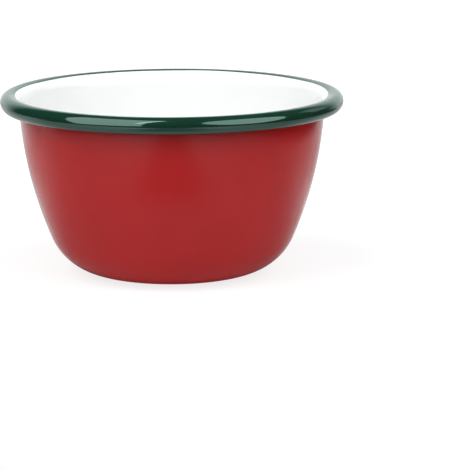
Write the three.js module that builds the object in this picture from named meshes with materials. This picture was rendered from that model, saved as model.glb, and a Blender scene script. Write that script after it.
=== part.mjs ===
// Enamelled steel dipping bowl: one pressed sheet with a rolled rim, coated with fused enamel.
// Units are millimetres, +Z is up, and the origin is the middle of the base on the table.
import * as THREE from 'three';

// Outside of the bowl
const RIM_DIAMETER = 120;
const BOWL_HEIGHT = 63.4;
const BASE_FLAT_DIAMETER = 47.2;
const CORNER_RADIUS = 20.6;
const WALL_RADIUS = 133.7;

// Rolled rim: a round bead, a level run back under it and a last turn up towards the wall
const BEAD_HEIGHT = 5.6;
const CURL_RUN = 1;
const CURL_END_TURN_DEGREES = 60;
const SEAM_CLEARANCE = 0.3;

// Sheet and coats. The green rim coat meets the white lining on the shoulder, this far round from the crest.
const STEEL_THICKNESS = 0.6;
const INNER_COAT_THICKNESS = 0.25;
const OUTER_COAT_THICKNESS = 0.25;
const RIM_COAT_TURN_DEGREES = 48;

// Rosette printed on the floor
const PRINT_THICKNESS = 0.1;
const PRINT_REPEATS = 6;
const CENTRE_DOT_DIAMETER = 4.4;
const DOT_TO_PETAL_GAP = 1.2;
const PETAL_LENGTH = 9.4;
const PETAL_WIDTH = 5.8;
const PETAL_SLIT_LENGTH = 5;
const PETAL_SLIT_WIDTH = 1.3;
const LEAF_SETBACK = 4.8;
const LEAF_LENGTH = 5.8;
const LEAF_WIDTH = 2.5;

// Fineness of the facets
const TURN_SEGMENTS = 56;
const CORNER_STEPS = 5;
const WALL_STEPS = 4;
const SHOULDER_STEPS = 3;
const CREST_STEPS = 3;
const BEAD_STEPS = 8;
const CURL_END_STEPS = 3;
const PRINT_CURVE_STEPS = 8;

// Depths into the wall, counted from the inner face
const SHEET_INNER_DEPTH = INNER_COAT_THICKNESS;
const SHEET_OUTER_DEPTH = SHEET_INNER_DEPTH + STEEL_THICKNESS;
const WALL_DEPTH = SHEET_OUTER_DEPTH + OUTER_COAT_THICKNESS;

const radians = THREE.MathUtils.degToRad;

// A place on the inner face and the unit normal there, which points into the wall.
// The reach from the arc's centre is negative where the face bulges away from the wall.
function facePoint(centre, reach, angle) {
  const inward = new THREE.Vector2(Math.sin(angle), -Math.cos(angle));
  return { place: centre.clone().addScaledVector(inward, reach), inward };
}

// The points of an arc of the inner face, without its first one
function arcPoints(centre, reach, startAngle, endAngle, steps) {
  const points = [];
  for (let step = 1; step <= steps; step += 1) {
    points.push(facePoint(centre, reach, THREE.MathUtils.lerp(startAngle, endAngle, step / steps)));
  }
  return points;
}

// The angle of the normal that points from one place to another
function normalAngle(from, to) {
  return Math.atan2(to.x - from.x, from.y - to.y);
}

// The centre of the wall's arc, which runs into the corner's arc and the shoulder's arc without a kink
function wallArcCentre(cornerCentre, shoulderCentre, shoulderRadius) {
  const toCorner = WALL_RADIUS - CORNER_RADIUS;
  const toShoulder = WALL_RADIUS - WALL_DEPTH + shoulderRadius;
  const apart = shoulderCentre.clone().sub(cornerCentre);
  const distance = apart.length();
  const along = (toCorner ** 2 - toShoulder ** 2 + distance ** 2) / (2 * distance);
  const aside = Math.sqrt(toCorner ** 2 - along ** 2);
  const direction = apart.normalize();
  const inwards = new THREE.Vector2(-direction.y, direction.x);
  return cornerCentre.clone().addScaledVector(direction, along).addScaledVector(inwards, aside);
}

// The inner face from the middle of the floor to the end of the curl, in two stretches:
// the lined one up to the edge of the rim coat, and the rim one from there on
function innerFace() {
  const beadRadius = BEAD_HEIGHT / 2;
  const curlTurn = radians(CURL_END_TURN_DEGREES);
  const coatEdgeAngle = radians(RIM_COAT_TURN_DEGREES);
  const shoulderRadius = beadRadius * Math.sin(curlTurn) + CURL_RUN + SEAM_CLEARANCE + WALL_DEPTH;

  const floorEdge = new THREE.Vector2(BASE_FLAT_DIAMETER / 2, WALL_DEPTH);
  const cornerCentre = new THREE.Vector2(BASE_FLAT_DIAMETER / 2, CORNER_RADIUS);
  const beadCentre = new THREE.Vector2(RIM_DIAMETER / 2 - beadRadius, BOWL_HEIGHT - beadRadius);
  const shoulderCentre = new THREE.Vector2(beadCentre.x, BOWL_HEIGHT - shoulderRadius);
  const curlCentre = new THREE.Vector2(beadCentre.x - CURL_RUN, beadCentre.y);
  const wallCentre = wallArcCentre(cornerCentre, shoulderCentre, shoulderRadius);
  const wallStart = normalAngle(wallCentre, cornerCentre);
  const wallEnd = normalAngle(wallCentre, shoulderCentre);

  const lined = [
    facePoint(new THREE.Vector2(0, WALL_DEPTH), 0, 0),
    facePoint(floorEdge, 0, 0),
    ...arcPoints(cornerCentre, CORNER_RADIUS - WALL_DEPTH, 0, wallStart, CORNER_STEPS),
    ...arcPoints(wallCentre, WALL_RADIUS - WALL_DEPTH, wallStart, wallEnd, WALL_STEPS),
    ...arcPoints(shoulderCentre, -shoulderRadius, wallEnd, coatEdgeAngle, SHOULDER_STEPS),
  ];
  const rim = [
    facePoint(shoulderCentre, -shoulderRadius, coatEdgeAngle),
    ...arcPoints(shoulderCentre, -shoulderRadius, coatEdgeAngle, 0, CREST_STEPS),
    ...arcPoints(beadCentre, -beadRadius, 0, -Math.PI, BEAD_STEPS),
    facePoint(curlCentre, -beadRadius, -Math.PI),
    ...arcPoints(curlCentre, -beadRadius, -Math.PI, -Math.PI - curlTurn, CURL_END_STEPS),
  ];
  return { lined, rim, whole: [...lined, ...rim.slice(1)] };
}

// One layer of the wall along a stretch of the inner face, between two depths, turned about the axis
function layerGeometry(stretch, shallowDepth, deepDepth) {
  const atDepth = (depth) => stretch.map(({ place, inward }) => place.clone().addScaledVector(inward, depth));
  const profile = [...atDepth(deepDepth), ...atDepth(shallowDepth).reverse()];
  const startsOnAxis = stretch[0].place.x === 0;
  if (!startsOnAxis) {
    profile.push(profile[0].clone());
  }
  const geometry = new THREE.LatheGeometry(profile, TURN_SEGMENTS);
  geometry.rotateX(Math.PI / 2);
  return geometry;
}

// A flat patch of print on the floor, drawn along +X and turned to its place
function printGeometry(outline, turn) {
  const geometry = new THREE.ExtrudeGeometry(outline, {
    depth: PRINT_THICKNESS,
    bevelEnabled: false,
    curveSegments: PRINT_CURVE_STEPS,
  });
  geometry.translate(0, 0, WALL_DEPTH);
  geometry.rotateZ(turn);
  return geometry;
}

// A narrow leaf along +X with two points, as a shape or as a hole in one
function leafPath(path, start, length, width) {
  const middle = start + length / 2;
  path.moveTo(start, 0);
  path.quadraticCurveTo(middle, -width, start + length, 0);
  path.quadraticCurveTo(middle, width, start, 0);
  return path;
}

// A drop with its point towards the middle, a round outer end and a bare slit along its middle
function petalOutline() {
  const point = CENTRE_DOT_DIAMETER / 2 + DOT_TO_PETAL_GAP;
  const halfWidth = PETAL_WIDTH / 2;
  const bulge = point + PETAL_LENGTH - halfWidth;
  const waist = (point + bulge) / 2;
  const outline = new THREE.Shape();
  outline.moveTo(point, 0);
  outline.quadraticCurveTo(waist, -halfWidth, bulge, -halfWidth);
  outline.absarc(bulge, 0, halfWidth, -Math.PI / 2, Math.PI / 2, false);
  outline.quadraticCurveTo(waist, halfWidth, point, 0);
  const slitStart = bulge - PETAL_SLIT_LENGTH;
  outline.holes.push(leafPath(new THREE.Path(), slitStart, PETAL_SLIT_LENGTH, PETAL_SLIT_WIDTH));
  return outline;
}

// A leaf between two petals, set back from their points
function leafOutline() {
  const start = CENTRE_DOT_DIAMETER / 2 + DOT_TO_PETAL_GAP + LEAF_SETBACK;
  return leafPath(new THREE.Shape(), start, LEAF_LENGTH, LEAF_WIDTH);
}

function dotOutline() {
  return new THREE.Shape().absarc(0, 0, CENTRE_DOT_DIAMETER / 2, 0, 2 * Math.PI, false);
}

function finish(color, roughness, metalness) {
  return new THREE.MeshStandardMaterial({ color, roughness, metalness });
}

const finishes = {
  steel: finish(0x8d9094, 0.45, 1),
  white: finish(0xf3f3ee, 0.12, 0),
  red: finish(0xa02a2e, 0.12, 0),
  green: finish(0x194f3e, 0.12, 0),
  printRed: finish(0xdc1c22, 0.2, 0),
  printGreen: finish(0x2f7a58, 0.2, 0),
};

const bowl = new THREE.Group();

function addPiece(name, geometry, material) {
  const piece = new THREE.Mesh(geometry, material);
  piece.name = name;
  bowl.add(piece);
}

// The coats and the sheet share the face's points, so their faces lie on each other.
const face = innerFace();
addPiece('steel_shell', layerGeometry(face.whole, SHEET_INNER_DEPTH, SHEET_OUTER_DEPTH), finishes.steel);
addPiece('white_lining_enamel', layerGeometry(face.lined, 0, SHEET_INNER_DEPTH), finishes.white);
addPiece('green_rim_enamel', layerGeometry(face.rim, 0, SHEET_INNER_DEPTH), finishes.green);
addPiece('red_outer_enamel', layerGeometry(face.lined, SHEET_OUTER_DEPTH, WALL_DEPTH), finishes.red);

addPiece('print_centre', printGeometry(dotOutline(), 0), finishes.printGreen);
const repeatTurn = (2 * Math.PI) / PRINT_REPEATS;
for (let index = 0; index < PRINT_REPEATS; index += 1) {
  const petalTurn = index * repeatTurn;
  const leafTurn = petalTurn + repeatTurn / 2;
  addPiece(`print_petal_${index + 1}`, printGeometry(petalOutline(), petalTurn), finishes.printRed);
  addPiece(`print_leaf_${index + 1}`, printGeometry(leafOutline(), leafTurn), finishes.printGreen);
}

export default bowl;
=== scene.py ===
# Enamelled steel dipping bowl: the looks of its sheet, its coats and the rosette printed on its floor.
# Shapes are drawn in millimetres and become metres when a mesh is made. The viewer is towards -Y.
import math

import bmesh
import bpy
from mathutils import Matrix, Quaternion, Vector, noise


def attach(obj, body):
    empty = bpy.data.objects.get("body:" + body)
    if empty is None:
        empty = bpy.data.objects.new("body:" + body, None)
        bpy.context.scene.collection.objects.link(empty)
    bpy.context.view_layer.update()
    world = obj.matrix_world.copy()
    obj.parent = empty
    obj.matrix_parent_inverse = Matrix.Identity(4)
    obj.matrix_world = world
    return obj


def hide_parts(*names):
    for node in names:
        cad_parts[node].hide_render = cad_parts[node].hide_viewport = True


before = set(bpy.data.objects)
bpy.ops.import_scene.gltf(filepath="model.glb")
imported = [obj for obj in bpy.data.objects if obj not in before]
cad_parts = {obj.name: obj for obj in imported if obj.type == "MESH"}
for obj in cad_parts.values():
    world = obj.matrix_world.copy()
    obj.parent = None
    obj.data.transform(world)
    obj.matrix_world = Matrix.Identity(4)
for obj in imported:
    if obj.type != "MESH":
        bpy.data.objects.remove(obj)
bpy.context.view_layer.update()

MM = 0.001

# Outside of the bowl
RIM_DIAMETER = 120
BOWL_HEIGHT = 63.4
BASE_FLAT_DIAMETER = 47.2
CORNER_RADIUS = 20.6
WALL_RADIUS = 133.7

# Rolled rim. The enamel runs on past the end of the curl and closes the seam with the wall.
BEAD_HEIGHT = 5.6
CURL_RUN = 1
CURL_END_TURN = math.radians(60)
SEAM_TURN = math.radians(80)
SEAM_CLEARANCE = 0.3

# Depths into the wall, counted from the inner face
SHEET_INNER_DEPTH = 0.25
SHEET_OUTER_DEPTH = 0.85
WALL_DEPTH = 1.1

# The green coat is painted over the top of the lining, and its edge wanders round the bowl. It stands
# proud of the face, less so at that edge, thins out along it, and is sunk a little into the lining.
LINING_TOP_TURN = math.radians(16)
PAINT_EDGE_TURN = math.radians(30)
PAINT_EDGE_NEAR = math.radians(16)
PAINT_EDGE_FAR = math.radians(7)
PAINT_EDGE_WAVE = math.radians(1)
PAINT_PROUD = 0.06
PAINT_EDGE_SHARE = 0.6
PAINT_THIN_WIDTH = 0.9
PAINT_SUNK = 0.01
SHOULDER_SLACK = 0.1
DRAINED_ENAMEL = 0.3

# Unevenness left by pressing and firing: its depth, and the rate of its noise for each metre
UNEVEN_DEPTH = 0.05
UNEVEN_RATE = 45
UNEVEN_SHIFT = Vector((7, 3, 5))

# Relief of the melted glass and of the press rings in the lining, in metres and in radians for each metre
ENAMEL_RELIEF = 0.00035
PRESS_RING_RATE = 2600
PRESS_RING_SHARE = 0.05

# Rosette printed on the floor. Its edges that turn by more than an angle, in radians, are rounded.
PRINT_THICKNESS = 0.1
PRINT_REPEATS = 6
PRINT_EDGE_ROUNDING = 0.035
PRINT_EDGE_ANGLE = 1
CENTRE_DOT_RADIUS = 2.2
PETAL_POINT = 3.4
PETAL_LENGTH = 9.4
PETAL_HALF_WIDTH = 2.9
PETAL_SLIT_LENGTH = 5
PETAL_SLIT_WIDTH = 1.3
LEAF_START = 8.2
LEAF_LENGTH = 5.8
LEAF_WIDTH = 2.5

# Fineness of the meshes
TURN_STEPS = 216
FLOOR_STEPS = 8
CORNER_STEPS = 16
WALL_STEPS = 20
SHOULDER_STEPS = 16
CREST_STEPS = 12
BEAD_STEPS = 40
CURL_STEPS = 12
PRINT_CURVE_STEPS = 14
PRINT_EDGE_STEPS = 2
CENTRE_DOT_STEPS = 56
MERGE_DISTANCE = 0.0001
SMOOTH_ANGLE = math.radians(40)

# Camera: frame and lens in pixels, how many pixels the rim's middle lies left of and above the frame's
# middle, the distance in metres and the sensor in millimetres
FRAME_PIXELS = 470
FOCAL_PIXELS = 3180
RIM_LEFT_PIXELS = 62.25
RIM_UP_PIXELS = 135.57
CAMERA_DISTANCE = 1.115
CAMERA_ELEVATION = math.radians(8.7)
CAMERA_ROLL = math.radians(-0.15)
SENSOR_WIDTH = 36

# Studio, in metres. A lamp's power is so many watts for each square metre and unit of radiance.
FLOOR_WIDTH = 0.8
FLOOR_LENGTH = 1.0
FLOOR_SETBACK = 0.25
FLOOR_DROP = 0.0002
LAMP_AIM_HEIGHT = 0.05
LAMP_POWER = 4
ROOM_LEVEL = 0.03

BLACK = (0, 0, 0, 1)
WHITE = (1, 1, 1, 1)


# Section of the wall

def face_point(centre, reach, angle):
    """A place on the inner face, and the direction into the wall there."""
    inward = Vector((math.sin(angle), -math.cos(angle)))
    return centre + inward * reach, inward


def face_arc(centre, reach, start, end, steps):
    """The points of an arc of the inner face. The reach is negative where the face bulges inwards."""
    turn = end - start
    return [face_point(centre, reach, start + turn * step / steps) for step in range(steps + 1)]


def normal_angle(start, end):
    """The angle of the normal that points from one place to another."""
    return math.atan2(end.x - start.x, start.y - end.y)


def at_depth(stretch, depth):
    """A stretch of the inner face, moved into the wall."""
    return [place + inward * depth for place, inward in stretch]


bead_radius = BEAD_HEIGHT / 2
shoulder_radius = bead_radius * math.sin(CURL_END_TURN) + CURL_RUN + SEAM_CLEARANCE + WALL_DEPTH
corner_centre = Vector((BASE_FLAT_DIAMETER / 2, CORNER_RADIUS))
bead_centre = Vector((RIM_DIAMETER / 2 - bead_radius, BOWL_HEIGHT - bead_radius))
shoulder_centre = Vector((bead_centre.x, BOWL_HEIGHT - shoulder_radius))
curl_centre = bead_centre - Vector((CURL_RUN, 0))


def wall_arc_centre():
    """The centre of the wall's arc, which runs into the corner and the shoulder without a kink."""
    to_corner = WALL_RADIUS - CORNER_RADIUS
    to_shoulder = WALL_RADIUS - WALL_DEPTH + shoulder_radius
    apart = shoulder_centre - corner_centre
    along = (to_corner ** 2 - to_shoulder ** 2 + apart.length_squared) / (2 * apart.length)
    aside = math.sqrt(to_corner ** 2 - along ** 2)
    direction = apart.normalized()
    return corner_centre + direction * along + Vector((-direction.y, direction.x)) * aside


wall_centre = wall_arc_centre()
wall_start = normal_angle(wall_centre, corner_centre)
wall_end = normal_angle(wall_centre, shoulder_centre)


def floor_stretch():
    """The flat floor, from the axis outwards."""
    reach = BASE_FLAT_DIAMETER / 2 / FLOOR_STEPS
    return [face_point(Vector((reach * step, WALL_DEPTH)), 0, 0) for step in range(FLOOR_STEPS)]


def cup_stretch(top_turn):
    """The inner face over floor, corner and wall, and up the shoulder to an angle from its crest."""
    corner = face_arc(corner_centre, CORNER_RADIUS - WALL_DEPTH, 0, wall_start, CORNER_STEPS)
    wall = face_arc(wall_centre, WALL_RADIUS - WALL_DEPTH, wall_start, wall_end, WALL_STEPS)
    shoulder = face_arc(shoulder_centre, -shoulder_radius, wall_end, top_turn, SHOULDER_STEPS)
    return floor_stretch() + corner + wall[1:] + shoulder[1:]


def bead_stretch(end_turn):
    """The rest of the face: over the crest, round the bead, back under it and up towards the wall."""
    bead = face_arc(bead_centre, -bead_radius, 0, -math.pi, BEAD_STEPS)
    curl = face_arc(curl_centre, -bead_radius, -math.pi, -math.pi - end_turn, CURL_STEPS)
    return bead + curl


def crest_stretch(start_turn):
    """The shoulder from an angle up to its crest, without the crest itself."""
    return face_arc(shoulder_centre, -shoulder_radius, start_turn, 0, CREST_STEPS)[:-1]


# Meshes

def spun(section, closed):
    """A section turned about the bowl's axis. An open one starts and ends on the axis."""
    mesh = bmesh.new()
    corners = [mesh.verts.new((radius * MM, 0, height * MM)) for radius, height in section]
    edges = [mesh.edges.new(pair) for pair in zip(corners, corners[1:])]
    if closed:
        edges.append(mesh.edges.new((corners[-1], corners[0])))
    bmesh.ops.spin(
        mesh,
        geom=corners + edges,
        cent=(0, 0, 0),
        axis=(0, 0, 1),
        angle=2 * math.pi,
        steps=TURN_STEPS,
        use_merge=True,
    )
    bmesh.ops.remove_doubles(mesh, verts=mesh.verts, dist=MERGE_DISTANCE * MM)
    bmesh.ops.recalc_face_normals(mesh, faces=mesh.faces)
    return mesh


def settle(mesh):
    """Adds the unevenness of pressing and firing. It grows with the height, and the base stays flat."""
    for vert in mesh.verts:
        grown = vert.co.z / (BOWL_HEIGHT * MM)
        sideways = noise.noise(vert.co * UNEVEN_RATE)
        upwards = noise.noise(vert.co * UNEVEN_RATE + UNEVEN_SHIFT)
        outwards = Vector((vert.co.x, vert.co.y, 0)).normalized()
        vert.co += outwards * (sideways * grown * UNEVEN_DEPTH * MM)
        vert.co.z += upwards * grown * UNEVEN_DEPTH * MM


def paint_edge_turn(azimuth):
    """How far down the shoulder the green coat comes: furthest on the viewer's side, slightly wavy."""
    nearness = -math.sin(azimuth)
    lean = PAINT_EDGE_NEAR * max(0, nearness) ** 2 - PAINT_EDGE_FAR * max(0, -nearness) ** 0.5
    long_wave = math.sin(3 * azimuth + 0.6)
    middle_wave = 0.7 * math.sin(7 * azimuth + 2.1)
    short_wave = 0.5 * math.sin(13 * azimuth)
    return PAINT_EDGE_TURN + lean + PAINT_EDGE_WAVE * (long_wave + middle_wave + short_wave)


def wander_paint_edge(mesh):
    """Draws the coat's edge along the shoulder to its place, and keeps how full the coat is.
    The points of the curl lie nearer to the shoulder's centre, and stay where they are."""
    cover = mesh.verts.layers.float.new("cover")
    least_reach = shoulder_radius - SHEET_INNER_DEPTH - SHOULDER_SLACK
    for vert in mesh.verts:
        across = Vector((vert.co.xy.length, vert.co.z)) / MM - shoulder_centre
        turn = math.atan2(-across.x, across.y)
        on_shoulder = across.length > least_reach
        vert[cover] = 1
        if on_shoulder and turn > LINING_TOP_TURN:
            edge_turn = paint_edge_turn(math.atan2(vert.co.y, vert.co.x))
            share = (turn - LINING_TOP_TURN) / (PAINT_EDGE_TURN - LINING_TOP_TURN)
            moved_turn = LINING_TOP_TURN + share * (edge_turn - LINING_TOP_TURN)
            outwards = Vector((-math.sin(moved_turn), math.cos(moved_turn)))
            moved = shoulder_centre + outwards * across.length
            level = vert.co.xy.normalized() * moved.x
            vert.co = Vector((level.x, level.y, moved.y)) * MM
            vert[cover] = min(1, (edge_turn - moved_turn) * shoulder_radius / PAINT_THIN_WIDTH)


def quadratic(start, control, end, steps):
    """The points of a curve that leaves its start towards a control point, without its end."""
    points = []
    for step in range(steps):
        share = step / steps
        points.append(start * (1 - share) ** 2 + control * (2 * share * (1 - share)) + end * share ** 2)
    return points


def leaf_outline(start, length, width):
    """A narrow leaf along +X with two points."""
    tail = Vector((start, 0))
    tip = Vector((start + length, 0))
    middle = start + length / 2
    there = quadratic(tail, Vector((middle, -width)), tip, PRINT_CURVE_STEPS)
    back = quadratic(tip, Vector((middle, width)), tail, PRINT_CURVE_STEPS)
    return there + back


def petal_outline():
    """A drop along +X, with its point towards the middle of the rosette and a round outer end."""
    point = Vector((PETAL_POINT, 0))
    bulge = PETAL_POINT + PETAL_LENGTH - PETAL_HALF_WIDTH
    waist = (PETAL_POINT + bulge) / 2
    half_steps = PRINT_CURVE_STEPS // 2
    low = Vector((bulge, -PETAL_HALF_WIDTH))
    high = Vector((bulge, PETAL_HALF_WIDTH))
    there = quadratic(point, Vector((waist, -PETAL_HALF_WIDTH)), low, half_steps)
    back = quadratic(high, Vector((waist, PETAL_HALF_WIDTH)), point, half_steps)
    end = []
    for step in range(PRINT_CURVE_STEPS):
        angle = math.pi * (step / PRINT_CURVE_STEPS - 0.5)
        onwards = bulge + PETAL_HALF_WIDTH * math.cos(angle)
        aside = PETAL_HALF_WIDTH * math.sin(angle)
        end.append(Vector((onwards, aside)))
    return there + end + back


def add_loop(mesh, outline):
    """A closed ring of edges on the floor of the bowl."""
    corners = [mesh.verts.new((place.x * MM, place.y * MM, WALL_DEPTH * MM)) for place in outline]
    return [mesh.edges.new(pair) for pair in zip(corners, corners[1:] + corners[:1])]


def raise_print(mesh, turn):
    """Gives a flat patch its thickness and a soft upper edge, and turns it to its place."""
    raised = bmesh.ops.extrude_face_region(mesh, geom=mesh.faces[:])["geom"]
    tops = [part for part in raised if isinstance(part, bmesh.types.BMVert)]
    bmesh.ops.translate(mesh, verts=tops, vec=(0, 0, PRINT_THICKNESS * MM))
    bmesh.ops.recalc_face_normals(mesh, faces=mesh.faces)
    middle_height = (WALL_DEPTH + PRINT_THICKNESS / 2) * MM
    rims = []
    for edge in mesh.edges:
        on_top = all(vert.co.z > middle_height for vert in edge.verts)
        if on_top and edge.calc_face_angle() > PRINT_EDGE_ANGLE:
            rims.append(edge)
    bmesh.ops.bevel(
        mesh,
        geom=rims,
        offset=PRINT_EDGE_ROUNDING * MM,
        segments=PRINT_EDGE_STEPS,
        profile=0.5,
        affect="EDGES",
        material=-1,
    )
    bmesh.ops.rotate(mesh, verts=mesh.verts, cent=(0, 0, 0), matrix=Matrix.Rotation(turn, 3, "Z"))
    return mesh


def petal_mesh(turn):
    """A petal with a bare slit along its middle."""
    mesh = bmesh.new()
    outer = add_loop(mesh, petal_outline())
    slit_start = PETAL_POINT + PETAL_LENGTH - PETAL_HALF_WIDTH - PETAL_SLIT_LENGTH
    slit = add_loop(mesh, leaf_outline(slit_start, PETAL_SLIT_LENGTH, PETAL_SLIT_WIDTH))
    bmesh.ops.bridge_loops(mesh, edges=outer + slit)
    return raise_print(mesh, turn)


def leaf_mesh(turn):
    """A leaf between two petals."""
    mesh = bmesh.new()
    loop = add_loop(mesh, leaf_outline(LEAF_START, LEAF_LENGTH, LEAF_WIDTH))
    bmesh.ops.edgeloop_fill(mesh, edges=loop)
    return raise_print(mesh, turn)


def dot_mesh():
    """The round middle of the rosette."""
    mesh = bmesh.new()
    bmesh.ops.create_circle(
        mesh,
        cap_ends=True,
        segments=CENTRE_DOT_STEPS,
        radius=CENTRE_DOT_RADIUS * MM,
        matrix=Matrix.Translation((0, 0, WALL_DEPTH * MM)),
    )
    return raise_print(mesh, 0)


def add_piece(mesh, name, node, material):
    """Makes a mesh a piece of the bowl that stands for a CAD node."""
    data = bpy.data.meshes.new(name)
    mesh.to_mesh(data)
    mesh.free()
    data.shade_smooth()
    data.set_sharp_from_angle(angle=SMOOTH_ANGLE)
    data.materials.append(material)
    piece = bpy.data.objects.new(name, data)
    bpy.context.scene.collection.objects.link(piece)
    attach(piece, "root")
    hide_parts(node)


# Finishes

class Shade:
    """An output socket of a shader tree. Sums on it add Math nodes."""

    def __init__(self, tree, socket):
        self.tree = tree
        self.socket = socket

    def math(self, operation, first, second):
        return self.tree.node("ShaderNodeMath", {"operation": operation}, {0: first, 1: second})

    def __add__(self, other):
        return self.math("ADD", self, other)

    def __radd__(self, other):
        return self.math("ADD", other, self)

    def __sub__(self, other):
        return self.math("SUBTRACT", self, other)

    def __rsub__(self, other):
        return self.math("SUBTRACT", other, self)

    def __mul__(self, other):
        return self.math("MULTIPLY", self, other)

    def __rmul__(self, other):
        return self.math("MULTIPLY", other, self)

    def __pow__(self, other):
        return self.math("POWER", self, other)


class ShaderTree:
    """A node tree that is filled one node at a time."""

    def __init__(self, tree):
        self.tree = tree
        tree.nodes.clear()

    def node(self, kind, settings, inputs, output=0):
        """Adds a node, first its settings and then its sockets' values or links, and gives one output."""
        made = self.tree.nodes.new(kind)
        for name, value in settings.items():
            setattr(made, name, value)
        for key, value in inputs.items():
            if isinstance(value, Shade):
                self.tree.links.new(value.socket, made.inputs[key])
            else:
                made.inputs[key].default_value = value
        if made.outputs:
            return Shade(self, made.outputs[output])

    def place(self):
        """The place on the piece, in metres."""
        return self.node("ShaderNodeTexCoord", {}, {}, "Object")

    def axis(self, vector, name):
        """One of a vector's three numbers."""
        return self.node("ShaderNodeSeparateXYZ", {}, {"Vector": vector}, name)

    def axis_distance(self, place):
        """How far a place is from the bowl's axis."""
        across = self.axis(place, "X")
        along = self.axis(place, "Y")
        return (across * across + along * along) ** 0.5

    def noise(self, place, wavelength, detail, shift=0):
        """Soft noise from 0 to 1 with about this wavelength in metres, taken from a shifted place."""
        offset = (shift, shift, shift)
        moved = self.node("ShaderNodeVectorMath", {"operation": "ADD"}, {0: place, 1: offset})
        return self.node(
            "ShaderNodeTexNoise",
            {},
            {"Vector": moved, "Scale": 1 / wavelength, "Detail": detail, "Roughness": 0.55},
            "Fac",
        )

    def ramp(self, value, start, end, low=0.0, high=1.0):
        """A smooth step from low to high as a value goes from start to end."""
        return self.node(
            "ShaderNodeMapRange",
            {"interpolation_type": "SMOOTHSTEP"},
            {"Value": value, "From Min": start, "From Max": end, "To Min": low, "To Max": high},
        )

    def blend(self, share, first, second):
        """A mix of two colours."""
        return self.node("ShaderNodeMix", {"data_type": "RGBA"}, {0: share, 6: first, 7: second}, 2)

    def bump(self, height, distance, strength):
        """A relief for a shader's Normal, with a distance in metres for a height of 1."""
        return self.node(
            "ShaderNodeBump",
            {},
            {"Height": height, "Distance": distance, "Strength": strength},
        )


def colour(red, green, blue):
    """An opaque colour."""
    return (red, green, blue, 1)


def new_material(name):
    """An empty material and its tree."""
    material = bpy.data.materials.new(name)
    material.use_nodes = True
    return material, ShaderTree(material.node_tree)


def close_material(tree, constants, varying):
    """Ends a material in one shader, with its even values set on the shader's own sockets."""
    shader = tree.node("ShaderNodeBsdfPrincipled", {}, {**constants, **varying})
    tree.node("ShaderNodeOutputMaterial", {}, {"Surface": shader})


def enamel_colour(tree, place, base, deep, speck, speck_share):
    """A fired cover coat: slow clouds from one tone to a deeper one, and rare specks like pinpoints."""
    clouds = tree.ramp(tree.noise(place, wavelength=0.022, detail=3), 0.3, 0.75)
    even = tree.blend(clouds, base, deep)
    cells = tree.node("ShaderNodeTexVoronoi", {}, {"Vector": place, "Scale": 110}, "Distance")
    rare = tree.ramp(tree.noise(place, wavelength=0.006, detail=0, shift=3), 0.62, 0.7)
    specks = tree.ramp(cells, 0.016, 0.03, 1, 0) * rare
    return tree.blend(specks * speck_share, even, speck)


def enamel_height(tree, place):
    """The surface of melted glass: long soft waves with a fine orange peel on them."""
    waves = tree.noise(place, wavelength=0.011, detail=1, shift=5)
    peel = tree.noise(place, wavelength=0.0028, detail=2, shift=9)
    return waves * 0.8 + peel * 0.2


def enamel_roughness(tree, place, low, high):
    """A gloss that drifts between two levels."""
    drift = tree.noise(place, wavelength=0.015, detail=4, shift=13)
    return tree.ramp(drift, 0.25, 0.8, low, high)


def red_enamel():
    """The coat of the outside."""
    material, tree = new_material("red_cover_enamel")
    place = tree.place()
    tone = enamel_colour(
        tree,
        place,
        base=colour(0.461, 0.0162, 0.0174),
        deep=colour(0.433, 0.0149, 0.016),
        speck=colour(0.1, 0.003, 0.004),
        speck_share=0.5,
    )
    close_material(
        tree,
        {"IOR": 1.42},
        {
            "Base Color": tone,
            "Roughness": enamel_roughness(tree, place, 0.09, 0.14),
            "Normal": tree.bump(enamel_height(tree, place), ENAMEL_RELIEF, 0.15),
        },
    )
    return material


def white_enamel():
    """The lining, with the faint turning rings that the press leaves round its floor."""
    material, tree = new_material("white_lining_enamel")
    place = tree.place()
    tone = enamel_colour(
        tree,
        place,
        base=colour(0.805, 0.82, 0.81),
        deep=colour(0.785, 0.8, 0.79),
        speck=colour(0.25, 0.25, 0.24),
        speck_share=0.35,
    )
    radius = tree.axis_distance(place)
    near_floor = tree.ramp(radius, 0.018, 0.023) * tree.ramp(radius, 0.029, 0.036, 1, 0)
    wave = tree.node("ShaderNodeMath", {"operation": "SINE"}, {0: radius * PRESS_RING_RATE})
    height = enamel_height(tree, place) + wave * near_floor * PRESS_RING_SHARE
    close_material(
        tree,
        {"IOR": 1.5},
        {
            "Base Color": tone,
            "Roughness": enamel_roughness(tree, place, 0.1, 0.16),
            "Normal": tree.bump(height, ENAMEL_RELIEF, 0.2),
        },
    )
    return material


def green_enamel():
    """The rim's coat. It is thin along its painted edge, where the white shows through a little."""
    material, tree = new_material("green_rim_enamel")
    place = tree.place()
    body = enamel_colour(
        tree,
        place,
        base=colour(0.006, 0.034, 0.02),
        deep=colour(0.005, 0.029, 0.017),
        speck=colour(0.002, 0.01, 0.006),
        speck_share=0.5,
    )
    cover = tree.node("ShaderNodeAttribute", {"attribute_name": "cover"}, {}, "Fac")
    ragged = tree.noise(place, wavelength=0.002, detail=2, shift=17)
    thin = tree.ramp(cover + ragged * 0.3, 0.12, 0.7, 1, 0)
    tone = tree.blend(thin * 0.35, body, colour(0.12, 0.3, 0.22))
    close_material(
        tree,
        {"IOR": 2.0, "Specular Tint": colour(0.67, 1, 0.92)},
        {
            "Base Color": tone,
            "Roughness": enamel_roughness(tree, place, 0.05, 0.09),
            "Normal": tree.bump(enamel_height(tree, place), ENAMEL_RELIEF, 0.2),
        },
    )
    return material


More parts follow.
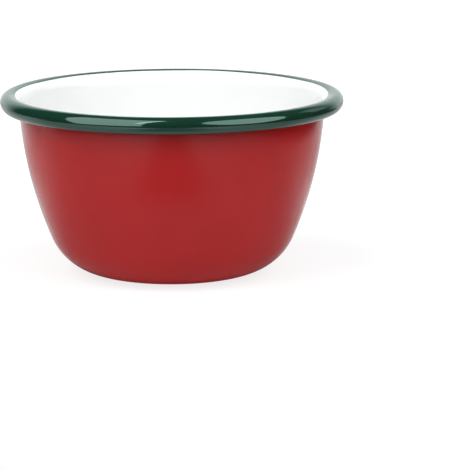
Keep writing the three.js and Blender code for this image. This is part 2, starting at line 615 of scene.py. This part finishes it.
def print_enamel(name, base, deep):
    """A fired print: flat colour broken up by the fine grain of its screen."""
    material, tree = new_material(name)
    place = tree.place()
    grain = tree.ramp(tree.noise(place, wavelength=0.0011, detail=2), 0.35, 0.7)
    clouds = tree.noise(place, wavelength=0.006, detail=2, shift=4)
    close_material(
        tree,
        {"IOR": 1.5},
        {
            "Base Color": tree.blend(grain * 0.5 + clouds * 0.5, base, deep),
            "Roughness": tree.ramp(grain, 0, 1, 0.14, 0.24),
            "Normal": tree.bump(grain, distance=0.00003, strength=0.3),
        },
    )
    return material


def pressed_steel():
    """The bare sheet, with the fine rings of drawing and darker fired scale."""
    material, tree = new_material("pressed_steel")
    place = tree.place()
    rings = tree.noise(tree.axis(place, "Z"), wavelength=0.0006, detail=2)
    scale = tree.ramp(tree.noise(place, wavelength=0.009, detail=4, shift=2), 0.45, 0.65)
    close_material(
        tree,
        {"Metallic": 1.0},
        {
            "Base Color": tree.blend(scale, colour(0.3, 0.31, 0.33), colour(0.12, 0.12, 0.13)),
            "Roughness": tree.ramp(rings, 0.3, 0.7, 0.35, 0.55),
            "Normal": tree.bump(rings, distance=0.00005, strength=0.3),
        },
    )
    return material


# Pieces of the bowl

def add_sheet():
    """The pressed sheet, with its edge rolled outwards into a hollow bead."""
    whole = cup_stretch(0) + bead_stretch(CURL_END_TURN)[1:]
    section = at_depth(whole, SHEET_OUTER_DEPTH) + at_depth(whole, SHEET_INNER_DEPTH)[::-1]
    mesh = spun(section, closed=False)
    settle(mesh)
    add_piece(mesh, "pressed_sheet", "steel_shell", pressed_steel())


def add_lining():
    """The white coat of the inside, up to where the green one covers it."""
    lined = cup_stretch(LINING_TOP_TURN)
    section = at_depth(lined, SHEET_INNER_DEPTH) + at_depth(lined, 0)[::-1]
    mesh = spun(section, closed=False)
    settle(mesh)
    add_piece(mesh, "white_lining", "white_lining_enamel", white_enamel())


def add_outer_coat():
    """The red coat of the outside, from the base up to the shoulder behind the bead."""
    cup = cup_stretch(LINING_TOP_TURN)
    section = at_depth(cup, WALL_DEPTH) + at_depth(cup, SHEET_OUTER_DEPTH)[::-1]
    mesh = spun(section, closed=False)
    settle(mesh)
    add_piece(mesh, "red_coat", "red_outer_enamel", red_enamel())


def drained(stretch):
    """The outer face of the rim's coat, thickest where the melt drained to the underside of the bead.
    From there it thins out slowly up the outside and fast towards the wall."""
    points = []
    for place, inward in stretch:
        fading = 2 if place.x > bead_centre.x else 8
        under = max(0, inward.y) ** fading
        points.append(place - inward * (PAINT_PROUD + DRAINED_ENAMEL * under))
    return points


def add_rim_coat():
    """The green coat lies on the lining down to its painted edge, and on the sheet round the bead."""
    over_lining = face_arc(
        shoulder_centre, -shoulder_radius, PAINT_EDGE_TURN, LINING_TOP_TURN, CREST_STEPS
    )
    bead = bead_stretch(SEAM_TURN)
    crest = crest_stretch(LINING_TOP_TURN)
    upper = over_lining + crest[1:] + bead
    edge_place, edge_inward = upper[0]
    soft_edge = [edge_place, edge_place - edge_inward * PAINT_PROUD * PAINT_EDGE_SHARE]
    outside = drained(upper[1:])
    inside = at_depth(crest + bead, SHEET_INNER_DEPTH)[::-1]
    under = at_depth(over_lining[1:], PAINT_SUNK)[::-1]
    mesh = spun(soft_edge + outside + inside + under, closed=True)
    wander_paint_edge(mesh)
    settle(mesh)
    add_piece(mesh, "green_rim", "green_rim_enamel", green_enamel())


def add_rosette():
    """The print on the floor: a dot with petals round it and a leaf between each two."""
    red = print_enamel("red_print", colour(0.68, 0.012, 0.016), colour(0.5, 0.008, 0.011))
    green = print_enamel("green_print", colour(0.028, 0.195, 0.098), colour(0.02, 0.14, 0.07))
    add_piece(dot_mesh(), "rosette_dot", "print_centre", green)
    repeat_turn = 2 * math.pi / PRINT_REPEATS
    for index in range(PRINT_REPEATS):
        number = index + 1
        petal = petal_mesh(index * repeat_turn)
        leaf = leaf_mesh((index + 0.5) * repeat_turn)
        add_piece(petal, f"rosette_petal_{number}", f"print_petal_{number}", red)
        add_piece(leaf, f"rosette_leaf_{number}", f"print_leaf_{number}", green)


# Studio

def floor_level(tree, place, mirrored):
    """How pale the floor is to the bowl, from 0 to 1."""
    across = tree.axis(place, "X")
    along = tree.axis(place, "Y")
    aside = tree.node("ShaderNodeMath", {"operation": "ABSOLUTE"}, {0: across})
    radius = tree.axis_distance(place)
    heading = along * radius ** -1

    # In front of the bowl and beside it: mid grey, dark where the viewer stands and past the front edge
    viewer_shade = tree.ramp(aside, 0.015, 0.07, 0.68, 0) * tree.ramp(along, -0.115, -0.07, 1, 0)
    edge_shade = tree.ramp(radius, 0.225, 0.25, 0, 0.92) * tree.ramp(along, -0.06, 0.04, 1, 0)
    board = tree.ramp(across, 0.04, 0.18, 1, 0.75) * (1 - edge_shade)
    # Painted reflection: in the enamel's mirror image the board is paler far in front, as if lit there,
    # and has painted shade near the bowl, unlike the light it throws.
    board_level = 0.44 + mirrored * tree.ramp(along, -0.2, -0.06, 0.04, -0.08)
    front = board * board_level * (1 - viewer_shade)

    # Behind the bowl: paler, most of all near it and far off
    pale_share = tree.ramp(radius, 0.09, 0.17, 1, 0.55) + tree.ramp(radius, 0.19, 0.3, 0, 0.45)
    narrowed = heading - tree.ramp(radius, 0.19, 0.3, 0, 0.25)
    behind = tree.ramp(narrowed, -0.3, 0.65, 0, 0.42) * pale_share

    # To the sides: dark far to the right, and a little darker far to the left
    right_shade = tree.ramp(across, 0.175, 0.235, 0, 0.92)
    left_shade = tree.ramp(across, -0.24, -0.16, 0.35, 0) * tree.ramp(heading, 0.2, 0.4)
    side_shade = (right_shade + left_shade) * tree.ramp(heading, 0.6, 0.8, 1, 0)
    return (front + behind) * (1 - side_shade)


def floor_material():
    """A matt floor. The camera sees it white with the bowl's shadow on it, and sees through it from below.
    It glows a little under the bowl, as a light table does, so that the base isn't black."""
    material, tree = new_material("pale_floor")
    place = tree.place()
    radius = tree.axis_distance(place)
    camera = tree.node("ShaderNodeLightPath", {}, {}, "Is Camera Ray")
    mirrored = tree.node("ShaderNodeLightPath", {}, {}, "Is Glossy Ray")
    below = tree.node("ShaderNodeNewGeometry", {}, {}, "Backfacing")
    tone = tree.blend(floor_level(tree, place, mirrored), BLACK, WHITE)
    shadow_tone = colour(0.22, 0.22, 0.22)
    lift = camera * tree.ramp(radius, 0.06, 0.2, 0.8, 1)
    glow = tree.ramp(radius, 0.025, 0.06, 0.42, 0) * (1 - camera) * (1 - mirrored)
    close_material(
        tree,
        {"Roughness": 1, "Specular IOR Level": 0, "Emission Strength": 1},
        {
            "Base Color": tree.blend(camera, tone, shadow_tone),
            "Emission Color": tree.blend(lift + glow, BLACK, WHITE),
            "Alpha": 1 - camera * below,
        },
    )
    return material


def add_floor():
    """A level floor just below the base, which reaches further behind the bowl than in front of it."""
    mesh = bmesh.new()
    bmesh.ops.create_grid(mesh, x_segments=1, y_segments=1, size=0.5)
    bmesh.ops.scale(mesh, verts=mesh.verts, vec=(FLOOR_WIDTH, FLOOR_LENGTH, 1))
    bmesh.ops.translate(mesh, verts=mesh.verts, vec=(0, FLOOR_SETBACK, -FLOOR_DROP))
    data = bpy.data.meshes.new("floor")
    mesh.to_mesh(data)
    mesh.free()
    data.materials.append(floor_material())
    floor = bpy.data.objects.new("floor", data)
    bpy.context.scene.collection.objects.link(floor)


def direction_to(azimuth, elevation):
    """A direction from the bowl: azimuth 0 is towards the viewer, positive to the right."""
    level = math.cos(math.radians(elevation))
    turn = math.radians(azimuth)
    return Vector((math.sin(turn) * level, -math.cos(turn) * level, math.sin(math.radians(elevation))))


def add_softbox(name, shape, azimuth, elevation, size, radiance, shift=(0, 0), roll=0):
    """A lamp panel in a plane a metre from the bowl and square to the direction to it.
    The panel is shifted to the side and up in that plane, and rolled in it by degrees."""
    lamp = bpy.data.lights.new(name, "AREA")
    lamp.shape = shape
    lamp.size, lamp.size_y = size
    fill = math.pi / 4 if shape == "ELLIPSE" else 1
    lamp.energy = LAMP_POWER * fill * lamp.size * lamp.size_y * radiance
    holder = bpy.data.objects.new(name, lamp)
    away = direction_to(azimuth, elevation)
    facing = away.to_track_quat("Z", "Y")
    aim = Vector((0, 0, LAMP_AIM_HEIGHT))
    holder.location = aim + away + facing @ Vector((shift[0], shift[1], 0))
    holder.rotation_euler = (facing @ Quaternion((0, 0, 1), math.radians(roll))).to_euler()
    holder.visible_camera = False
    bpy.context.scene.collection.objects.link(holder)
    return holder


def add_fill(name, azimuth, elevation, size, radiance):
    """A panel that only brightens: it isn't mirrored in the enamel."""
    holder = add_softbox(name, "RECTANGLE", azimuth, elevation, size, radiance)
    holder.visible_glossy = False


def add_lamps():
    """Two large softboxes, a narrow strip and a dim card that the enamel mirrors, and three fills."""
    add_softbox(
        "softbox_left",
        "RECTANGLE",
        azimuth=-48,
        elevation=25,
        size=(0.97, 1.84),
        radiance=1.42,
        shift=(-0.06, 0.34),
        roll=12,
    )
    add_softbox(
        "strip_left",
        "RECTANGLE",
        azimuth=-19,
        elevation=56,
        size=(0.07, 0.74),
        radiance=2.35,
        shift=(-0.015, -0.1),
        roll=-10,
    )
    add_softbox("softbox_right", "ELLIPSE", azimuth=52.5, elevation=25, size=(1.06, 1.14), radiance=1.42)
    add_softbox("card_right", "RECTANGLE", azimuth=118, elevation=25, size=(0.36, 0.4), radiance=0.37)
    add_fill("fill_front", azimuth=0, elevation=48, size=(2.0, 0.5), radiance=0.85)
    add_fill("fill_left", azimuth=-75, elevation=60, size=(1.0, 1.0), radiance=1.12)
    add_fill("fill_right", azimuth=75, elevation=60, size=(1.0, 1.0), radiance=1.25)


def light_world():
    """White to the camera. To other rays it is pale behind the bowl, and a dark room elsewhere."""
    world = bpy.data.worlds.new("studio")
    world.use_nodes = True
    bpy.context.scene.world = world
    tree = ShaderTree(world.node_tree)
    camera = tree.node("ShaderNodeLightPath", {}, {}, "Is Camera Ray")
    direction = tree.node("ShaderNodeTexCoord", {}, {}, "Generated")
    rise = tree.axis(direction, "Z")
    behind = tree.ramp(tree.axis(direction, "Y"), 0.56, 0.9)
    backdrop = behind * tree.ramp(rise, 0.4, 0.75, 1, 0) * tree.ramp(rise, -0.4, -0.1, 0.4, 1)
    strength = camera + (1 - camera) * (ROOM_LEVEL + backdrop * (1 - ROOM_LEVEL))
    tone = tree.blend(camera, colour(0.94, 1, 1), WHITE)
    background = tree.node("ShaderNodeBackground", {}, {"Color": tone, "Strength": strength})
    tree.node("ShaderNodeOutputWorld", {}, {"Surface": background})


def add_camera():
    """A long lens a little above the rim, aimed so that the bowl stands high and left in the frame."""
    pixels_per_metre = FOCAL_PIXELS / CAMERA_DISTANCE
    rim_middle = Vector((0, 0, bead_centre.y * MM))
    away = Vector((0, -math.cos(CAMERA_ELEVATION), math.sin(CAMERA_ELEVATION)))
    upwards = Vector((0, math.sin(CAMERA_ELEVATION), math.cos(CAMERA_ELEVATION)))
    rightwards = Vector((RIM_LEFT_PIXELS, 0, 0)) / pixels_per_metre
    downwards = -upwards * (RIM_UP_PIXELS / pixels_per_metre)
    aim = rim_middle + rightwards + downwards
    data = bpy.data.cameras.new("camera")
    data.sensor_width = SENSOR_WIDTH
    data.lens = FOCAL_PIXELS / FRAME_PIXELS * SENSOR_WIDTH
    camera = bpy.data.objects.new("camera", data)
    camera.location = rim_middle + away * CAMERA_DISTANCE
    look = aim - camera.location
    roll = Quaternion((0, 0, 1), CAMERA_ROLL)
    camera.rotation_euler = (look.to_track_quat("-Z", "Y") @ roll).to_euler()
    bpy.context.scene.collection.objects.link(camera)
    bpy.context.scene.camera = camera


add_sheet()
add_lining()
add_outer_coat()
add_rim_coat()
add_rosette()
add_floor()
add_lamps()
light_world()
add_camera()
bpy.context.scene.view_settings.view_transform = "Standard"
